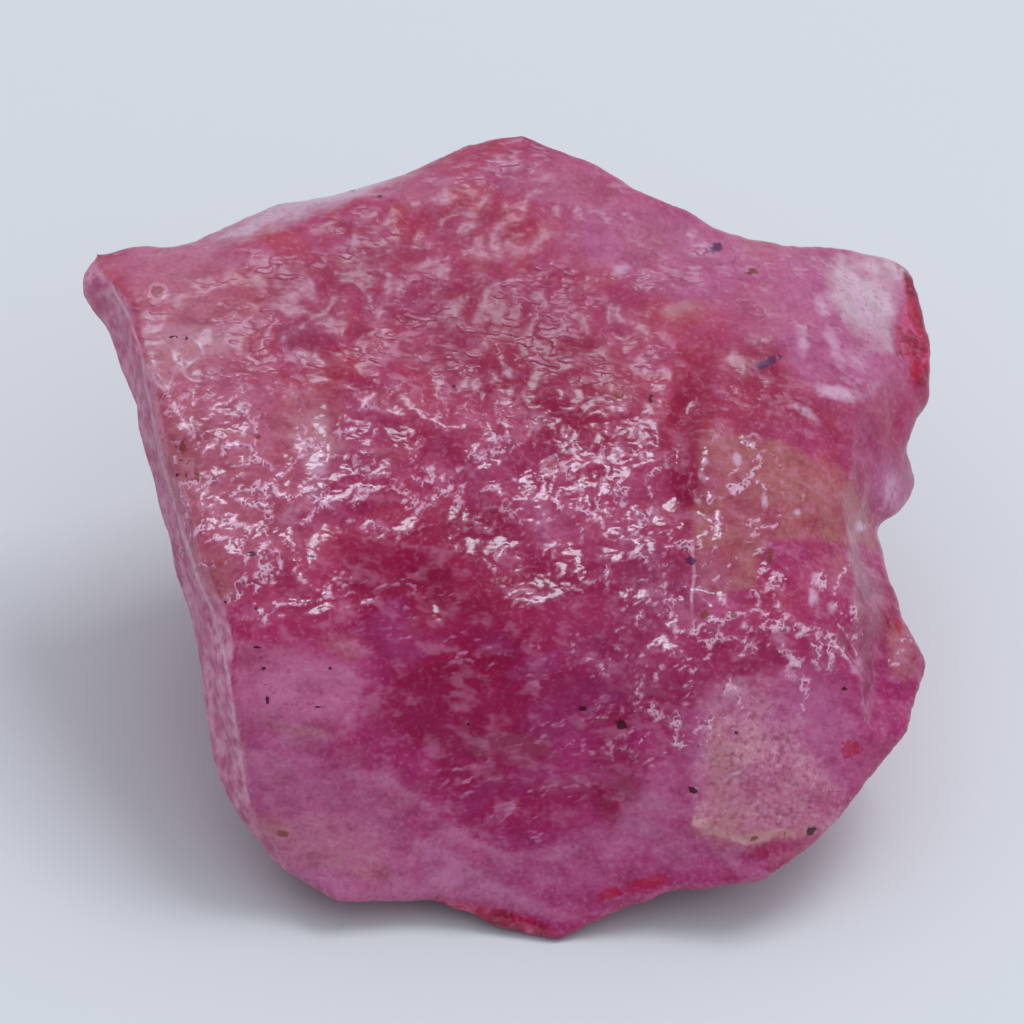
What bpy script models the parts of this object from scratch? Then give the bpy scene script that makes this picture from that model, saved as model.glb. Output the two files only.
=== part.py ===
"""Rough pink sapphire: one solid stone with a flat parting face to rest on.

The stone is drawn the way a cutter describes one. Its girdle is the outline where the upper and
front side, the crown, meets the hidden back and underside, the pavilion. The girdle lies near a
plane that leans back 45 degrees, so every corner is given in millimetres as
(across, up the slant, height above the table).

Run with: blender --background --python part.py
"""

import math

import bmesh
import bpy
from mathutils import Vector, noise
from mathutils.geometry import delaunay_2d_cdt

MM = 0.001

# Driving dimensions, in millimetres.
STONE_WIDTH = 53.0  # across, before the relief, which adds a little
DRAWN_WIDTH = 53.0  # the width that the corners below are drawn for
LEAN = math.radians(45)  # the girdle plane's lean
TOE = -20.0  # how far in front of the middle the slant starts, at table height

# Surface character, in millimetres.
LUMP_SIZE = 5.0  # spacing of the etched swellings
LUMP_HEIGHT = 0.6
KNOB_SIZE = 2.2  # spacing of the small knobs on them
KNOB_HEIGHT = 0.32
PATTERN_STARTS = (Vector((0.0, 0.0, 0.0)), Vector((17.3, 5.1, 9.7)), Vector((3.9, 21.4, 13.2)))
FOOT_SHARE = 0.4  # how much of that relief is left on the smooth foot
FOOT_HEIGHT = 7.0
ETCHED_HEIGHT = 17.0  # above this the skin is fully etched

CAGE_LEVELS = 3
RIDGE_ANGLE = math.radians(24)  # cage edges that fold more than this stay crisp
RIDGE_CREASE = 0.55
TRIANGLES = 8600
SHARP_ANGLE = math.radians(30)  # edges that fold more than this are shaded sharp

# The girdle, clockwise from the left tip.
GIRDLE = (
    # left tip and the straight top edge beside it
    (-26.7, 41.4, 26.2), (-25.9, 43.1, 26.8), (-24.0, 43.2, 27.1), (-20.1, 43.3, 27.4),
    # back bevel, rising to the apex
    (-17.6, 44.3, 26.9), (-14.2, 45.8, 27.5), (-11.0, 46.3, 28.0), (-6.8, 47.7, 28.5), (-3.1, 49.7, 29.6),
    # apex and the slope down to the saddle
    (1.0, 50.7, 30.7), (4.1, 49.0, 30.1), (8.6, 47.0, 28.8), (12.6, 44.1, 26.7), (16.1, 43.1, 25.6),
    # rounded lobe
    (19.9, 43.7, 24.8), (23.2, 42.9, 23.2), (25.4, 41.6, 21.4), (25.9, 38.8, 20.2),
    (26.9, 35.7, 18.8), (26.3, 33.1, 17.0),
    # notch, knob behind, second notch
    (24.8, 30.7, 16.2), (25.7, 28.7, 13.6), (25.0, 26.2, 13.0), (23.0, 25.0, 14.4),
    # shoulder out to the right corner
    (23.8, 22.5, 14.0), (24.4, 19.9, 13.2), (26.1, 16.9, 11.4),
    # lower right edge, clear of the table
    (24.8, 12.9, 10.2), (22.3, 9.7, 8.8), (20.7, 7.4, 7.2), (18.7, 5.2, 5.4), (15.3, 3.4, 4.4),
    (10.6, 3.0, 3.4), (6.9, 1.6, 1.8),
    # toe on the table
    (3.2, -0.5, 0.0), (-1.3, 0.8, 0.8), (-4.7, 2.3, 1.8), (-10.8, 1.9, 2.3),
    # lower left, up the foot of the cleaved wall
    (-13.7, 3.8, 3.0), (-15.9, 6.2, 4.2), (-17.7, 9.0, 6.2), (-18.7, 12.2, 8.8),
    (-19.4, 17.9, 11.6), (-21.2, 23.2, 14.2), (-21.9, 28.4, 17.0), (-23.2, 32.4, 19.4),
    (-25.2, 36.6, 22.2), (-26.0, 39.2, 24.3),
)

# Upper and front side.
CROWN = (
    # ridge along the top of the cleaved wall, from the tip down to the foot
    (-24.8, 41.2, 27.6), (-23.2, 38.0, 26.6), (-22.0, 33.6, 25.0), (-20.6, 28.3, 22.7),
    (-18.9, 23.4, 20.2), (-17.6, 19.3, 17.9), (-16.9, 14.6, 14.8), (-16.3, 10.4, 10.4),
    (-15.9, 7.8, 7.4),
    # ridge in front of the back bevel
    (-17.4, 42.6, 28.2), (-11.4, 44.7, 29.1), (-6.5, 46.5, 29.8), (-1.6, 48.2, 30.5),
    # broad table face, which falls gently to the front
    (-20.6, 39.6, 27.2), (-15.9, 39.4, 27.0), (-9.7, 41.0, 27.9), (-3.4, 42.3, 28.1),
    (2.8, 44.2, 29.0), (8.3, 42.1, 27.4), (-18.4, 34.0, 25.2), (-12.8, 33.4, 24.5),
    (-6.5, 35.0, 25.2), (-0.3, 35.6, 25.3), (5.9, 36.8, 25.8), (8.4, 31.8, 23.9),
    (-16.4, 27.0, 22.3), (-10.3, 28.0, 22.4), (-4.7, 27.2, 21.3), (2.1, 28.4, 22.3),
    (8.2, 28.4, 22.1), (-14.6, 21.4, 19.5), (-9.7, 21.2, 18.8), (-4.1, 21.2, 17.8),
    (2.1, 21.2, 18.7), (8.6, 21.8, 19.2),
    # roll from the table face into the front
    (-13.4, 17.4, 16.9), (-8.6, 16.8, 15.9), (-3.4, 17.4, 15.6), (3.4, 18.0, 16.9),
    (10.9, 18.3, 17.5), (15.8, 18.8, 17.6), (19.4, 18.8, 16.8),
    # front, left side: a bench, a steep face and a flared foot
    (-12.8, 13.2, 13.6), (-8.4, 12.4, 12.3), (-12.0, 9.2, 9.3), (-6.4, 9.6, 9.1),
    (-14.0, 6.2, 6.2), (-10.3, 4.8, 4.9), (-4.7, 4.4, 4.2),
    # front, middle: a shallow hollow over the toe
    (-3.4, 13.4, 12.2), (2.1, 13.6, 12.8), (7.1, 13.8, 13.6), (-0.3, 8.0, 7.2), (5.9, 7.4, 7.2),
    (4.6, 3.4, 3.3), (9.8, 5.6, 5.8), (0.2, 3.6, 3.5), (-0.3, 1.9, 2.0),
    # lower right slab and its chipped lower edge
    (11.2, 14.8, 14.6), (11.9, 9.8, 10.0), (11.6, 6.7, 7.3), (14.4, 6.1, 6.7), (17.0, 6.4, 6.9),
    (15.4, 12.3, 12.6), (19.2, 12.6, 12.2), (19.3, 8.8, 8.9), (14.8, 5.0, 5.4), (11.9, 4.8, 5.0),
    # flute and the hollow behind the right corner
    (21.5, 24.2, 17.4), (21.4, 20.4, 16.4), (21.7, 16.2, 14.6), (21.8, 12.8, 11.7),
    (22.7, 21.6, 14.6), (22.9, 17.4, 13.0), (23.0, 14.0, 11.3), (24.6, 17.4, 12.7),
    # raised slab on the right, with the step along its left edge
    (12.2, 31.0, 23.9), (11.8, 27.2, 22.3), (11.5, 23.4, 20.3), (10.6, 31.2, 23.0),
    (10.3, 27.2, 21.4), (16.4, 30.8, 23.0), (16.6, 26.0, 21.0), (17.0, 22.2, 19.3),
    (20.8, 29.6, 20.2), (20.6, 26.2, 18.6),
    # valley between the table face and the lobe, and the lobe's crown
    (11.5, 38.4, 25.6), (12.0, 34.4, 24.2), (15.8, 32.9, 23.2), (20.6, 32.2, 21.2),
    (18.3, 37.8, 24.7), (22.0, 39.2, 23.6), (22.8, 35.0, 21.6), (18.2, 40.9, 25.3),
    (14.6, 39.8, 25.6), (15.2, 35.6, 24.3), (24.8, 38.0, 21.2), (23.6, 31.6, 18.6),
    (23.8, 28.2, 16.4),
)

# Back and underside. Heights just below zero lie under the parting face and are cut away.
PAVILION = (
    # back wall below the apex
    (1.0, 46.6, 25.4), (-9.0, 43.6, 22.6), (9.0, 43.6, 22.6), (0.0, 38.0, 14.0),
    (-9.0, 35.6, 12.6), (9.5, 37.0, 13.4), (1.0, 29.8, 4.4), (-8.0, 28.8, 4.6), (9.5, 29.2, 4.4),
    # left overhang, from the tip down to the base
    (-18.0, 41.0, 23.2), (-23.8, 39.6, 22.8), (-22.4, 34.6, 18.4), (-16.4, 34.6, 14.0),
    (-18.6, 28.0, 12.2), (-18.4, 20.4, 7.8),
    # right side, under the lobe and the right corner
    (17.6, 40.4, 19.8), (23.8, 39.4, 17.4), (24.0, 33.4, 12.2), (24.0, 28.2, 9.6), (17.6, 31.4, 8.0),
    (21.6, 25.6, 6.6), (21.4, 19.4, 6.4), (22.4, 13.6, 5.8), (17.6, 6.2, 2.6),
    # rim of the parting face
    (2.5, 0.9, -1.0), (9.0, 2.2, -1.0), (14.6, 5.0, -1.0), (16.4, 10.4, -1.0),
    (16.6, 17.4, -1.0), (14.6, 23.4, -1.0), (9.0, 25.2, -1.0), (1.0, 25.8, -1.0),
    (-8.0, 24.6, -1.0), (-13.6, 22.0, -1.0), (-15.4, 15.0, -1.0), (-15.4, 9.9, -1.0),
    (-12.6, 5.9, -1.0), (-6.0, 3.2, -1.0),
    # middle of the parting face
    (-5.0, 10.0, -1.0), (6.0, 9.0, -1.0), (-4.0, 18.0, -1.0), (6.0, 18.0, -1.0),
)

PINK = (0.42, 0.06, 0.16, 1.0)


def corner(across, slant, height):
    """A corner in millimetres, from its place on the leaning girdle plane and its height."""
    back = TOE + slant / math.cos(LEAN) - height * math.tan(LEAN)
    return Vector((across, back, height))


def add_side(cage, rim, inner, outward):
    """Joins one side's corners into triangles, none of them across the girdle."""
    corners = [*rim, *inner]
    loop = list(range(len(rim)))
    drawn = [Vector((across, slant)) for across, slant, _ in corners]
    flat, _, triangles, source, _, _ = delaunay_2d_cdt(drawn, [], [loop], 1, 1e-4)
    verts = [cage.verts.new(corner(*corners[ids[0]])) for ids in source]
    for ids in triangles:
        face = cage.faces.new([verts[i] for i in ids])
        face.normal_update()
        if face.normal.dot(outward) < 0:
            face.normal_flip()


def build_cage():
    """The coarse closed cage: crown and pavilion, joined along the girdle."""
    cage = bmesh.new()
    towards_crown = Vector((0, -math.sin(LEAN), math.cos(LEAN)))
    add_side(cage, GIRDLE, CROWN, towards_crown)
    add_side(cage, GIRDLE, PAVILION, -towards_crown)
    bmesh.ops.remove_doubles(cage, verts=cage.verts, dist=0.01)
    bmesh.ops.recalc_face_normals(cage, faces=cage.faces)
    bmesh.ops.join_triangles(
        cage, faces=cage.faces, angle_face_threshold=RIDGE_ANGLE, angle_shape_threshold=math.pi
    )
    crease = cage.edges.layers.float.new("crease_edge")
    for edge in cage.edges:
        if edge.calc_face_angle() > RIDGE_ANGLE:
            edge[crease] = RIDGE_CREASE
    return cage


def evaluated_mesh(obj):
    graph = bpy.context.evaluated_depsgraph_get()
    return bpy.data.meshes.new_from_object(obj.evaluated_get(graph), depsgraph=graph)


def soften(cage, collection):
    """The cage with its corners rounded as weathering leaves them, as a new object."""
    mesh = bpy.data.meshes.new("crystal")
    cage.to_mesh(mesh)
    cage.free()
    stone = bpy.data.objects.new("crystal", mesh)
    collection.objects.link(stone)
    subdivide = stone.modifiers.new("rounding", "SUBSURF")
    subdivide.levels = CAGE_LEVELS
    subdivide.render_levels = CAGE_LEVELS
    stone.data = evaluated_mesh(stone)
    stone.modifiers.clear()
    bpy.data.meshes.remove(mesh)
    return stone


def drift(place):
    """Smooth wandering, one pattern for each of the three directions."""
    return Vector([noise.noise(place + start) for start in PATTERN_STARTS])


def relief(place):
    """How far the etched lumps shift a place, in millimetres."""
    lumps = drift(place / LUMP_SIZE) * LUMP_HEIGHT
    knobs = drift(place / KNOB_SIZE) * KNOB_HEIGHT
    rise = min(max((place.z - FOOT_HEIGHT) / (ETCHED_HEIGHT - FOOT_HEIGHT), 0.0), 1.0)
    return (lumps + knobs) * (FOOT_SHARE + (1.0 - FOOT_SHARE) * rise)


def roughen(stone):
    """Warps the skin by the relief. The shift is smooth in space, so sharp edges never fold over."""
    for vert in stone.data.vertices:
        vert.co += relief(vert.co)


def thin_out(stone):
    """Fewer, larger triangles where the skin is nearly flat."""
    stone.data.calc_loop_triangles()
    decimate = stone.modifiers.new("thinning", "DECIMATE")
    decimate.ratio = min(1.0, TRIANGLES / len(stone.data.loop_triangles))
    whole = stone.data
    stone.data = evaluated_mesh(stone)
    stone.modifiers.clear()
    bpy.data.meshes.remove(whole)


def cut_base(body):
    """Cuts the stone off level at table height and closes the cut with one flat face."""
    geometry = [*body.verts, *body.edges, *body.faces]
    cut = bmesh.ops.bisect_plane(
        body, geom=geometry, dist=1e-4, plane_co=(0, 0, 0), plane_no=(0, 0, -1), clear_outer=True
    )
    rim = [item for item in cut["geom_cut"] if isinstance(item, bmesh.types.BMEdge)]
    bmesh.ops.contextual_create(body, geom=rim)
    bmesh.ops.recalc_face_normals(body, faces=body.faces)


def to_real_size(body):
    """Centres the stone over the origin, at its real size in metres."""
    xs = [vert.co.x for vert in body.verts]
    ys = [vert.co.y for vert in body.verts]
    middle = Vector(((max(xs) + min(xs)) / 2, (max(ys) + min(ys)) / 2, 0))
    bmesh.ops.translate(body, verts=body.verts, vec=-middle)
    size = STONE_WIDTH / DRAWN_WIDTH * MM
    bmesh.ops.scale(body, verts=body.verts, vec=(size, size, size))


def crystal_material():
    material = bpy.data.materials.new("crystal")
    material.use_nodes = True
    shader = material.node_tree.nodes["Principled BSDF"]
    shader.inputs["Base Color"].default_value = PINK
    shader.inputs["Roughness"].default_value = 0.3
    shader.inputs["Metallic"].default_value = 0.0
    return material


def build_crystal(collection):
    stone = soften(build_cage(), collection)
    roughen(stone)
    thin_out(stone)
    body = bmesh.new()
    body.from_mesh(stone.data)
    cut_base(body)
    to_real_size(body)
    bmesh.ops.triangulate(body, faces=body.faces)
    body.to_mesh(stone.data)
    body.free()
    stone.data.materials.clear()
    stone.data.materials.append(crystal_material())
    stone.data.shade_smooth()
    stone.data.set_sharp_from_angle(angle=SHARP_ANGLE)


def main():
    for obj in list(bpy.data.objects):
        bpy.data.objects.remove(obj, do_unlink=True)
    collection = bpy.data.collections.new("pink_sapphire_crystal")
    bpy.context.scene.collection.children.link(collection)
    build_crystal(collection)


main()
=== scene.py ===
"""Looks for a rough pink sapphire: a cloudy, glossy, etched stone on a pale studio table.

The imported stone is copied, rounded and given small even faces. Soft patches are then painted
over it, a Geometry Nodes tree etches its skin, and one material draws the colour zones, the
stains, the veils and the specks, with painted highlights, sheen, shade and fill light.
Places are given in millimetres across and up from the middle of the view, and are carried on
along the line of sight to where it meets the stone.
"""

import math

import bmesh
import bpy
import numpy as np
from mathutils import Matrix, Vector
from mathutils.bvhtree import BVHTree


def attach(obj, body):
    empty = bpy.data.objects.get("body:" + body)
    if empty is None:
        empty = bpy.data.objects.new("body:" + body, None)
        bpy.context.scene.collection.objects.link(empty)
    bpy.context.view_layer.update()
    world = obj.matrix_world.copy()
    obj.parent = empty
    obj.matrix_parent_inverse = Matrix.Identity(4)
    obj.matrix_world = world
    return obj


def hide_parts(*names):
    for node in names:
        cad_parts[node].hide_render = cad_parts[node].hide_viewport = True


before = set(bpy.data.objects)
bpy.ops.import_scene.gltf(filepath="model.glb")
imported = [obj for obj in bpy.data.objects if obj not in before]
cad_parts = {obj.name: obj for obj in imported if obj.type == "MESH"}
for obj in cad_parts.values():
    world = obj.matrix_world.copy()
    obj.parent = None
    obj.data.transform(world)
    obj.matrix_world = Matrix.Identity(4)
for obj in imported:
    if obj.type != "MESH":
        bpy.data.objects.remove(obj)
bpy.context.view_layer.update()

MM = 0.001

# The view: a long lens that looks down at the stone from the front.
VIEW_TARGET = Vector((0.0003, 0.0, 0.01726))
VIEW_DISTANCE = 0.7
VIEW_HEIGHT_ANGLE = math.radians(45)
VIEW_LENS = 396.2
SENSOR = 36.0
NEAREST_SEEN = 0.01
FARTHEST_SEEN = 20

VIEW_RIGHT = Vector((1, 0, 0))
VIEW_UP = Vector((0, math.sin(VIEW_HEIGHT_ANGLE), math.cos(VIEW_HEIGHT_ANGLE)))
VIEW_BACK = Vector((0, -math.cos(VIEW_HEIGHT_ANGLE), math.sin(VIEW_HEIGHT_ANGLE)))
EYE = VIEW_TARGET + VIEW_BACK * VIEW_DISTANCE

# The light tent's glow, for what it lights and for reflections: the direction of its brightest
# part, where along it the rise starts and ends, and the strengths there.
TENT_GLOW = ((0.38, 0.0, 0.92), 0.3, 1.0, 0.515, 1.6)
SHEEN_GLOW = ((0.0, 0.87, 0.5), -0.1, 0.8, 0.2, 0.9)
TENT_TONE = (210, 215, 224)
BACKDROP_TONE = (209, 215, 226)

# Softboxes that look at the stone: place, size, power, colour, and whether they cast a shadow.
GLINT_SOFTBOX = (Vector((-0.05, 0.03, 0.85)), 0.2, 2.0, (0.74, 0.88, 1.0), False)
TABLE_SOFTBOX = (Vector((0.42, 0.2, 1.0)), 0.45, 4.4, (0.93, 0.96, 1.0), True)

TABLE_HALF_WIDTH = 3.0
TABLE_TONE = (213, 215, 218)
TABLE_ROUGHNESS = 0.7

# Refining of the stone's skin.
WELD = 1e-6
VOXEL = 0.3 * MM
ROUNDING_LEVELS = 1
WEAR_FACTOR = 0.5
SKIN_WEAR = 5  # rounds of smoothing, for the whole skin and for its sharpest corners
CORNER_WEAR = 50
CORNER_REACH = 3.0 * MM
WORN_CORNERS = ((-0.1, 23.1), (-25.6, 15.95))  # the apex and the left tip

# Between what values painting fades: how far a point faces the view or the sky, how far it is
# past the end of a line, in millimetres, or how far to the left it lies and faces.
VIEW_FADE = (-0.1, 0.1)
SKY_FADE = (0.8, 0.95)
EDGE_END_FADE = (0.0, 0.8)
VEIL_END_FADE = (0.0, 1.5)
VEIL_LINE_FADE = (-0.15, 0.15)
WALL_PLACE_FADE = (4 * MM, 9 * MM)
WALL_FACING_FADE = (0.45, 0.7)

# Soft patches: (across, up, half width, half height, turn in degrees, strength), in millimetres.
PATCHES = {
    # fields of dense glitter, where the skin is deeply etched
    "glitter": (
        (3.5, 3.0, 8.0, 4.4, -8, 0.88), (8.2, -2.8, 4.0, 4.6, 0, 0.35), (-2.6, 5.7, 3.9, 4.0, 0, 0.9),
        (-11.2, 2.8, 4.2, 5.2, 20, 0.75), (-17.4, -0.8, 3.6, 3.6, 10, 0.9), (-20.0, 4.6, 2.0, 3.4, 15, 0.8),
        (-14.6, -4.4, 4.6, 1.9, -20, 0.8), (-20.6, 10.6, 2.6, 3.0, 0, 0.7),
        (-12.5, 10.8, 4.0, 2.2, 10, 0.8), (-7.6, 12.6, 3.4, 2.0, -20, 0.7), (14.6, 0.6, 3.4, 5.2, 0, 0.2),
        (14.4, -6.9, 5.0, 3.4, 0, 0.6), (16.2, -10.4, 4.4, 2.6, 0, 0.6), (20.3, -6.6, 1.6, 4.4, 0, 0.5),
        (8.6, -10.6, 5.6, 1.8, 14, 0.5), (3.0, -8.4, 4.6, 1.6, 0, 0.35), (-5.4, -3.6, 2.2, 1.8, 0, 0.15),
        (4.6, -14.2, 5.4, 3.4, 12, 0.3), (10.6, -14.0, 2.6, 2.6, 20, 0.4), (5.4, 11.8, 4.4, 1.7, -15, 0.7),
        (4.0, 20.2, 5.6, 2.6, -5, 0.6), (9.2, 14.6, 2.4, 1.6, 30, 0.5), (21.6, 11.2, 3.6, 4.8, 0, 0.7),
        (-2.4, 17.2, 3.0, 1.4, 0, 0.5),
    ),
    # deep red, where the stone is clear enough to look into; left of the tan slab it is also painted shade
    # on the steep step there, which faces away from the light
    "depth": (
        (-7.2, -4.6, 3.6, 3.6, 0, 0.85), (-1.0, 9.0, 6.4, 2.4, -5, 0.5), (-4.6, 4.2, 3.6, 2.2, 0, 0.35),
        (4.0, -3.6, 4.0, 1.8, -12, 0.5), (-9.0, 1.4, 2.6, 2.2, 0, 0.4), (9.8, -11.8, 2.6, 1.8, 0, 0.4),
        (-1.4, -9.0, 3.6, 2.2, 0, 0.8), (0.4, -15.4, 5.4, 4.8, 0, 0.4), (-2.6, -1.2, 3.2, 1.8, 0, 1.0),
        (0.6, -4.8, 3.2, 1.5, 0, 0.9), (8.4, -4.6, 2.2, 1.8, 0, 0.35), (6.8, -8.0, 3.6, 1.6, 0, 0.5),
        (15.6, -4.7, 2.0, 1.4, 0, 0.4), (24.0, -4.4, 0.9, 2.4, 0, 0.5), (-1.0, 12.2, 4.4, 1.8, 0, 0.5),
        (1.8, 9.2, 2.6, 1.5, 0, 0.6), (5.4, 2.3, 1.5, 1.5, 0, 0.5), (3.4, 10.2, 3.0, 1.4, 0, 0.4),
        (-8.7, 16.2, 3.0, 1.0, 10, 0.55), (15.5, 8.8, 1.9, 2.1, 0, 0.9), (15.6, 5.7, 2.2, 1.0, 0, 0.45),
        (3.6, 7.8, 3.6, 2.8, 0, 0.85), (10.8, 4.0, 0.9, 2.2, 0, 1.0), (11.4, 6.6, 1.5, 3.4, 0, 0.9),
        (10.6, 2.4, 0.8, 4.2, 3, 1.0), (23.4, -7.0, 0.8, 2.2, 5, 0.7), (-16.0, 9.0, 2.6, 1.2, 10, 0.4),
        (-9.4, 14.8, 6.0, 1.2, 12, 0.35), (6.8, 4.6, 6.4, 1.6, -10, 0.5), (15.6, -21.2, 3.6, 1.0, -10, 0.6),
        (-8.0, -18.0, 2.4, 0.8, 0, 0.3), (3.0, 7.6, 3.2, 2.0, 0, 0.5), (-3.0, 13.4, 4.0, 1.6, -5, 0.45),
        (-14.0, 14.4, 3.4, 1.4, 5, 0.4), (18.5, 6.4, 3.4, 1.4, -10, 0.5),
    ),
    # milky lavender, where the stone is cloudy just below the skin; some patches are painted light: fill
    # light on the down-facing lower front and sheen on the lobe
    "haze_and_painted_light": (
        (-13.4, -10.9, 4.2, 2.6, 4, 0.9), (-14.2, -15.2, 3.0, 1.4, -8, 0.4),
        (-6.6, -23.4, 5.6, 1.4, 0, 0.5), (2.6, -22.6, 6.2, 1.6, -8, 0.2), (10.6, -21.6, 5.4, 1.6, 6, 0.4),
        (6.2, -18.6, 5.0, 1.2, 8, 0.3), (-10.8, -20.6, 4.6, 2.4, -14, 0.7), (8.8, -17.2, 3.0, 2.0, 0, 0.5),
        (8.6, 16.6, 6.0, 2.0, -28, 0.8), (20.0, 12.6, 5.4, 5.6, 0, 1.0), (20.6, 11.2, 3.4, 3.6, 0, 0.8),
        (-10.4, 20.8, 8.8, 0.9, 22, 1.0), (23.8, 1.2, 1.4, 2.6, 20, 0.9), (15.8, -12.6, 3.4, 3.2, 0, 0.7),
        (1.6, 2.6, 8.0, 4.0, -6, 0.35), (-21.4, 14.2, 3.4, 1.6, -12, 0.4), (-15.6, 5.2, 4.0, 3.0, 0, 0.2),
        (4.4, 20.4, 5.0, 2.2, 0, 0.75), (12.6, 19.0, 5.0, 1.0, -28, 0.5), (9.8, 15.2, 3.2, 1.8, -20, 0.6),
        (-11.6, -21.8, 4.0, 1.8, -14, 0.8), (-14.0, -16.2, 4.0, 2.8, 0, 0.55),
        (6.4, -19.8, 4.0, 1.6, 8, 0.6), (18.0, -11.4, 3.6, 2.0, 0, 0.6), (19.6, -15.2, 2.8, 3.2, 0, 0.7),
        (-21.0, 15.8, 3.8, 1.8, 4, 0.8), (-5.6, 20.4, 4.4, 1.0, 15, 0.6), (9.6, 16.4, 3.4, 2.0, -20, 0.7),
        (14.2, 16.8, 3.6, 2.0, -25, 0.7), (12.6, -14.4, 2.2, 4.2, 0, 0.8), (22.4, 9.4, 1.6, 1.6, 0, 0.5),
        (2.4, -1.2, 1.8, 1.2, 0, 0.5), (12.4, -4.2, 2.0, 3.2, 0, 0.5), (19.2, -4.8, 1.6, 1.8, 0, 0.4),
        (5.2, 16.2, 2.6, 1.6, 0, 0.5), (-12.4, -22.4, 3.2, 1.4, -14, 0.6),
    ),
    # purple, where the red hollow is cloudy; its lower part is also lightened as painted fill light, where
    # it faces down
    "plum": (
        (5.2, -15.4, 4.2, 2.4, 10, 0.9), (4.0, -8.6, 4.6, 1.5, 8, 0.4), (-2.6, -15.0, 3.6, 2.4, -10, 0.5),
        (-6.0, -11.6, 2.0, 1.6, 0, 0.5), (2.0, -19.4, 5.0, 1.4, 0, 0.6), (9.4, -22.0, 3.2, 1.0, 5, 0.5),
        (-8.6, -18.4, 2.0, 1.4, 0, 0.5),
    ),
    # dull purple, darker in these places
    "dull_purple": (
        (8.6, -4.4, 2.4, 4.6, 0, 0.9), (5.4, -8.4, 2.8, 1.4, 0, 0.6), (-2.0, -1.2, 2.4, 1.4, 0, 0.4),
        (24.2, -8.0, 1.2, 2.4, 0, 0.5), (2.0, -4.8, 2.2, 1.2, 0, 0.5),
    ),
    # dusty pink, where the skin is dull
    "blush": (
        (-17.2, 2.4, 4.6, 7.0, 14, 0.9), (-20.4, 11.4, 3.8, 3.8, 0, 0.85), (-14.0, 12.6, 5.0, 2.4, -8, 0.2),
        (-20.8, 15.4, 4.4, 1.8, 4, 0.8), (-12.3, 6.0, 2.0, 4.4, 0, 0.7), (-11.4, -20.8, 5.0, 2.2, -14, 0.9),
        (16.6, 12.4, 4.0, 2.0, 0, 0.4), (3.4, 20.2, 4.0, 1.6, -10, 0.6), (9.0, 16.4, 3.0, 1.8, -20, 0.6),
        (15.4, 16.6, 2.6, 1.6, -15, 0.8), (-5.2, 19.8, 2.6, 1.4, 12, 0.6),
    ),
    # pale beige, where a thin crust is left
    "beige": (
        (-12.4, 4.6, 2.4, 3.4, 25, 0.7), (-19.8, 10.4, 3.0, 1.5, -6, 0.9), (-21.6, 8.6, 1.0, 1.6, 12, 0.8),
        (10.2, 12.6, 1.6, 0.8, 15, 0.7), (17.0, 2.6, 3.0, 0.8, -14, 0.4), (-17.6, -5.2, 0.8, 1.6, 20, 0.5),
        (-20.0, 3.1, 0.26, 0.7, 22, 1.0),
    ),
    # rust and tan soil left in the skin
    "stain": (
        (-20.4, 3.2, 1.7, 5.2, 16, 0.8), (-18.4, -4.0, 1.5, 2.4, 22, 0.9), (-20.6, 9.6, 2.2, 1.5, 10, 0.7),
        (-12.8, -13.6, 2.8, 0.5, -8, 0.8), (-10.6, -8.2, 1.8, 1.3, -30, 0.6),
        (-14.8, -19.6, 1.5, 1.1, -20, 0.9), (-9.4, -22.3, 3.0, 1.2, -14, 0.6),
        (24.2, -8.6, 1.0, 2.2, 10, 0.9), (10.6, 12.4, 2.2, 1.1, 15, 0.7), (7.0, 7.2, 1.7, 1.5, 0, 0.5),
        (-10.4, 5.8, 4.2, 1.6, 12, 0.4), (-5.6, 9.8, 3.4, 1.2, 0, 0.35), (-9.4, 15.6, 3.2, 0.8, 15, 0.4),
        (20.2, -3.6, 1.0, 1.3, 0, 0.8), (1.8, -14.6, 0.7, 0.6, 0, 0.4), (-7.8, 3.2, 2.0, 1.2, 0, 0.5),
        (12.8, -15.6, 0.9, 3.6, 4, 0.8), (14.2, -19.9, 3.4, 0.7, -2, 1.0), (17.8, -19.8, 1.6, 0.6, 20, 0.7),
        (18.2, -21.2, 2.2, 0.6, 22, 0.6),
    ),
    # painted highlights: small glints on the etched skin and whitish reflections of the light, as on the
    # lobe's slope
    "highlights": (
        (21.1, 14.6, 0.6, 1.7, 28, 0.9), (22.0, 12.4, 0.6, 1.8, 28, 0.9), (23.1, 13.2, 0.5, 1.6, 22, 0.8),
        (18.1, 10.6, 0.6, 1.2, 14, 0.8), (20.4, 7.4, 1.9, 0.6, -12, 0.9), (18.0, 6.4, 1.2, 0.5, -35, 0.8),
        (20.0, 10.2, 0.5, 1.6, 24, 0.7), (19.2, 12.8, 0.5, 1.5, 26, 0.7), (21.4, 9.4, 0.5, 1.3, 30, 0.7),
        (16.9, 12.6, 0.5, 0.6, 0, 0.5), (14.1, 13.6, 0.8, 0.8, 30, 0.3), (22.6, 7.9, 0.4, 0.9, -60, 0.5),
        (14.1, -10.6, 1.3, 1.6, -25, 0.6), (17.5, -10.0, 0.9, 1.0, 0, 0.5), (13.2, -12.6, 0.8, 0.8, 0, 0.4),
        (21.4, -9.6, 0.6, 1.2, -10, 0.5), (19.2, -6.6, 0.8, 0.9, 0, 0.4), (16.4, -8.0, 1.0, 0.8, 0, 0.5),
        (23.6, 1.4, 0.7, 1.8, -12, 0.6), (-10.4, 20.9, 6.6, 0.5, 22, 0.5), (-20.4, 9.0, 0.5, 1.4, 10, 0.5),
        (-18.8, 8.6, 0.3, 1.0, 30, 0.5), (-13.6, 0.2, 1.2, 1.6, 0, 0.5), (8.6, 0.2, 1.6, 1.8, 0, 0.5),
        (6.6, -2.8, 2.2, 1.2, -20, 0.35), (2.4, 0.8, 1.6, 1.0, -30, 0.3), (1.7, 20.6, 1.0, 0.5, 0, 0.6),
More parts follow.
